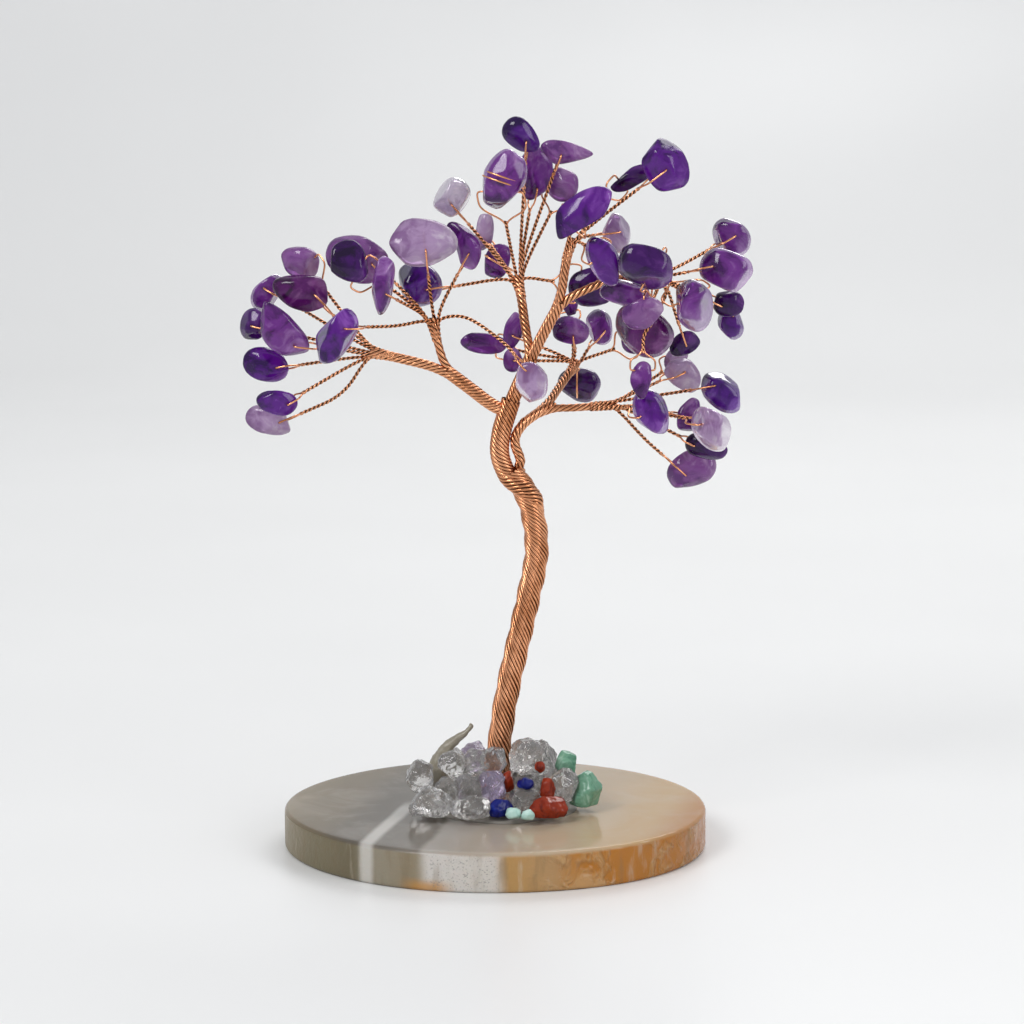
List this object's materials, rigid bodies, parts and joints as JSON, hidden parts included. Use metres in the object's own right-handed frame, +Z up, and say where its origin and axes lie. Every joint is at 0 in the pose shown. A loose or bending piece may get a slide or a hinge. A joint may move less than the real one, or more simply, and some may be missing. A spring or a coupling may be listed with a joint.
{
  "type": "gemstone tree ornament",
  "caption": "Small table ornament of a tree: twisted copper wire trunk and twigs with amethyst chips, rooted in a heap of small stones on a polished agate slice.",
  "frame": {"origin": "middle of the agate slice's underside, where it rests on the table", "axes": "+Z up along the trunk, -Y towards the viewer of the picture, +X to the viewer's right"},
  "size_m": [0.096, 0.0745, 0.1382],
  "materials": {
    "agate": "polished",
    "clear_glue": "gloss",
    "copper": "drawn",
    "amethyst_vivid": "polished",
    "amethyst_mid": "polished",
    "amethyst_pale": "polished",
    "amethyst_dark": "polished",
    "clear_quartz": "gloss",
    "violet_quartz": "gloss",
    "lapis": "polished",
    "amazonite": "polished",
    "red_jasper": "polished",
    "aventurine": "polished",
    "smoky_quartz": "gloss"
  },
  "bodies": {
    "tree": {"agate_slab": "agate", "clear_glue_film": "clear_glue", "root_wires": "copper", "trunk_main_bundle": "copper", "trunk_side_bundle": "copper", "left_branch": "copper", "left_upper_branch": "copper", "centre_branch": "copper", "crown_branch": "copper", "crown_back_branch": "copper", "right_upper_branch": "copper", "back_branch": "copper", "right_branch": "copper", "left_tip_twigs": "copper", "left_tip_wedged_chips": "amethyst_dark", "left_upper_twigs": "copper", "left_upper_wedged_chips": "amethyst_mid", "crown_back_twigs": "copper", "crown_back_wedged_chips": "amethyst_mid", "crown_twigs": "copper", "crown_wedged_chips": "amethyst_vivid", "right_upper_twigs": "copper", "right_upper_wedged_chips": "amethyst_dark", "back_twigs": "copper", "back_wedged_chips": "amethyst_mid", "right_twigs": "copper", "right_wedged_chips": "amethyst_pale", "clear_quartz_stones": "clear_quartz", "violet_quartz_stones": "violet_quartz", "lapis_stones": "lapis", "amazonite_stones": "amazonite", "red_jasper_stones": "red_jasper", "aventurine_stones": "aventurine", "smoky_quartz_horn": "smoky_quartz"},
    "left_tip_upper_chip": {"left_tip_upper_chip": "amethyst_mid"},
    "left_tip_bean_chip": {"left_tip_bean_chip": "amethyst_mid"},
    "left_tip_rhombus_chip": {"left_tip_rhombus_chip": "amethyst_vivid"},
    "left_tip_vivid_chip": {"left_tip_vivid_chip": "amethyst_vivid"},
    "left_tip_pale_chip": {"left_tip_pale_chip": "amethyst_pale"},
    "left_big_pale_chip": {"left_big_pale_chip": "amethyst_pale"},
    "left_front_chip": {"left_front_chip": "amethyst_vivid"},
    "trunk_front_chip": {"trunk_front_chip": "amethyst_pale"},
    "crown_clear_chip": {"crown_clear_chip": "amethyst_pale"},
    "crown_bell_chip": {"crown_bell_chip": "amethyst_mid"},
    "crown_top_chip": {"crown_top_chip": "amethyst_dark"},
    "crown_spike_chip": {"crown_spike_chip": "amethyst_mid"},
    "crown_bright_chip": {"crown_bright_chip": "amethyst_vivid"},
    "crown_pale_chip": {"crown_pale_chip": "amethyst_pale"},
    "crown_disc_chip": {"crown_disc_chip": "amethyst_vivid"},
    "right_triangle_chip": {"right_triangle_chip": "amethyst_mid"},
    "right_upper_chip": {"right_upper_chip": "amethyst_mid"},
    "right_round_chip": {"right_round_chip": "amethyst_mid"},
    "right_dangling_chip": {"right_dangling_chip": "amethyst_mid"},
    "back_right_chip": {"back_right_chip": "amethyst_mid"},
    "back_low_chip": {"back_low_chip": "amethyst_dark"},
    "back_left_chip": {"back_left_chip": "amethyst_mid"},
    "low_right_vivid_chip": {"low_right_vivid_chip": "amethyst_vivid"},
    "low_right_pale_chip": {"low_right_pale_chip": "amethyst_pale"},
    "low_right_indigo_chip": {"low_right_indigo_chip": "amethyst_vivid"},
    "low_right_bottom_chip": {"low_right_bottom_chip": "amethyst_pale"}
  },
  "joints": [
    {"name": "left_tip_upper_swing", "type": "hinge", "parent": "tree", "child": "left_tip_upper_chip", "pos_m": [-0.03556, 0.008, 0.10993], "axis": [-0.5744, 0.3937, -0.7177], "range_deg": [-15, 15]},
    {"name": "left_tip_bean_swing", "type": "hinge", "parent": "tree", "child": "left_tip_bean_chip", "pos_m": [-0.03772, -0.00393, 0.09656], "axis": [-0.1183, 0.9853, 0.1234], "range_deg": [-15, 15]},
    {"name": "left_tip_rhombus_swing", "type": "hinge", "parent": "tree", "child": "left_tip_rhombus_chip", "pos_m": [-0.04081, 0.002, 0.09111], "axis": [0.2599, 0.9459, -0.1942], "range_deg": [-15, 15]},
    {"name": "left_tip_vivid_swing", "type": "hinge", "parent": "tree", "child": "left_tip_vivid_chip", "pos_m": [-0.03913, -0.005, 0.08557], "axis": [-0.2246, 0.9723, 0.0644], "range_deg": [-15, 15]},
    {"name": "left_tip_pale_swing", "type": "hinge", "parent": "tree", "child": "left_tip_pale_chip", "pos_m": [-0.04041, 0.001, 0.08113], "axis": [0.1971, 0.9778, -0.0716], "range_deg": [-15, 15]},
    {"name": "left_big_pale_swing", "type": "hinge", "parent": "tree", "child": "left_big_pale_chip", "pos_m": [-0.01303, -0.006, 0.11557], "axis": [-0.0456, 0.9453, 0.3231], "range_deg": [-15, 15]},
    {"name": "left_front_swing", "type": "hinge", "parent": "tree", "child": "left_front_chip", "pos_m": [-0.02864, -0.009, 0.10022], "axis": [-0.4284, 0.9035, 0.0129], "range_deg": [-15, 15]},
    {"name": "trunk_front_swing", "type": "hinge", "parent": "tree", "child": "trunk_front_chip", "pos_m": [0.00624, -0.009, 0.09194], "axis": [0.3433, 0.9092, -0.2355], "range_deg": [-15, 15]},
    {"name": "crown_clear_swing", "type": "hinge", "parent": "tree", "child": "crown_clear_chip", "pos_m": [-0.0086, 0.004, 0.12203], "axis": [-0.1426, 0.9897, 0.0151], "range_deg": [-15, 15]},
    {"name": "crown_bell_swing", "type": "hinge", "parent": "tree", "child": "crown_bell_chip", "pos_m": [0.00076, -0.002, 0.12473], "axis": [0.9425, -0.334, 0.0114], "range_deg": [-15, 15]},
    {"name": "crown_top_swing", "type": "hinge", "parent": "tree", "child": "crown_top_chip", "pos_m": [0.00587, 0.004, 0.13388], "axis": [0.1066, 0.9919, 0.0684], "range_deg": [-15, 15]},
    {"name": "crown_spike_swing", "type": "hinge", "parent": "tree", "child": "crown_spike_chip", "pos_m": [0.01216, -0.002, 0.13203], "axis": [0.0405, 0.9518, 0.304], "range_deg": [-15, 15]},
    {"name": "crown_bright_swing", "type": "hinge", "parent": "tree", "child": "crown_bright_chip", "pos_m": [0.01435, -0.0125, 0.12072], "axis": [0.5823, -0.3619, -0.728], "range_deg": [-15, 15]},
    {"name": "crown_pale_swing", "type": "hinge", "parent": "tree", "child": "crown_pale_chip", "pos_m": [0.02259, -0.001, 0.1172], "axis": [-0.326, 0.943, -0.0673], "range_deg": [-15, 15]},
    {"name": "crown_disc_swing", "type": "hinge", "parent": "tree", "child": "crown_disc_chip", "pos_m": [0.03153, -0.006, 0.1295], "axis": [0.0518, 0.9953, 0.0823], "range_deg": [-15, 15]},
    {"name": "right_triangle_swing", "type": "hinge", "parent": "tree", "child": "right_triangle_chip", "pos_m": [0.03599, -0.01, 0.10604], "axis": [-0.8281, -0.4223, -0.3686], "range_deg": [-15, 15]},
    {"name": "right_upper_swing", "type": "hinge", "parent": "tree", "child": "right_upper_chip", "pos_m": [0.04397, 0.002, 0.11605], "axis": [-0.2863, 0.9465, -0.1486], "range_deg": [-15, 15]},
    {"name": "right_round_swing", "type": "hinge", "parent": "tree", "child": "right_round_chip", "pos_m": [0.04042, -0.0036, 0.11091], "axis": [0.0924, 0.9857, -0.1411], "range_deg": [-15, 15]},
    {"name": "right_dangling_swing", "type": "hinge", "parent": "tree", "child": "right_dangling_chip", "pos_m": [0.02717, -0.009, 0.09222], "axis": [0.9844, 0.1739, -0.0248], "range_deg": [-15, 15]},
    {"name": "back_right_swing", "type": "hinge", "parent": "tree", "child": "back_right_chip", "pos_m": [0.02029, 0.024, 0.09543], "axis": [-0.4087, 0.8687, -0.2797], "range_deg": [-15, 15]},
    {"name": "back_low_swing", "type": "hinge", "parent": "tree", "child": "back_low_chip", "pos_m": [0.01578, 0.027, 0.08487], "axis": [0.0281, 0.5898, 0.8071], "range_deg": [-15, 15]},
    {"name": "back_left_swing", "type": "hinge", "parent": "tree", "child": "back_left_chip", "pos_m": [0.00002, 0.026, 0.09259], "axis": [-0.0943, 0.0941, -0.9911], "range_deg": [-15, 15]},
    {"name": "low_right_vivid_swing", "type": "hinge", "parent": "tree", "child": "low_right_vivid_chip", "pos_m": [0.0288, -0.001, 0.08406], "axis": [-0.6217, -0.6235, -0.4741], "range_deg": [-15, 15]},
    {"name": "low_right_pale_swing", "type": "hinge", "parent": "tree", "child": "low_right_pale_chip", "pos_m": [0.0396, -0.003, 0.0818], "axis": [0.6725, 0.7269, 0.1393], "range_deg": [-15, 15]},
    {"name": "low_right_indigo_swing", "type": "hinge", "parent": "tree", "child": "low_right_indigo_chip", "pos_m": [0.04162, 0.002, 0.08798], "axis": [0.2179, 0.9706, -0.1022], "range_deg": [-15, 15]},
    {"name": "low_right_bottom_swing", "type": "hinge", "parent": "tree", "child": "low_right_bottom_chip", "pos_m": [0.0358, 0.01, 0.07004], "axis": [-0.1784, 0.9803, 0.0843], "range_deg": [-15, 15]}
  ]
}
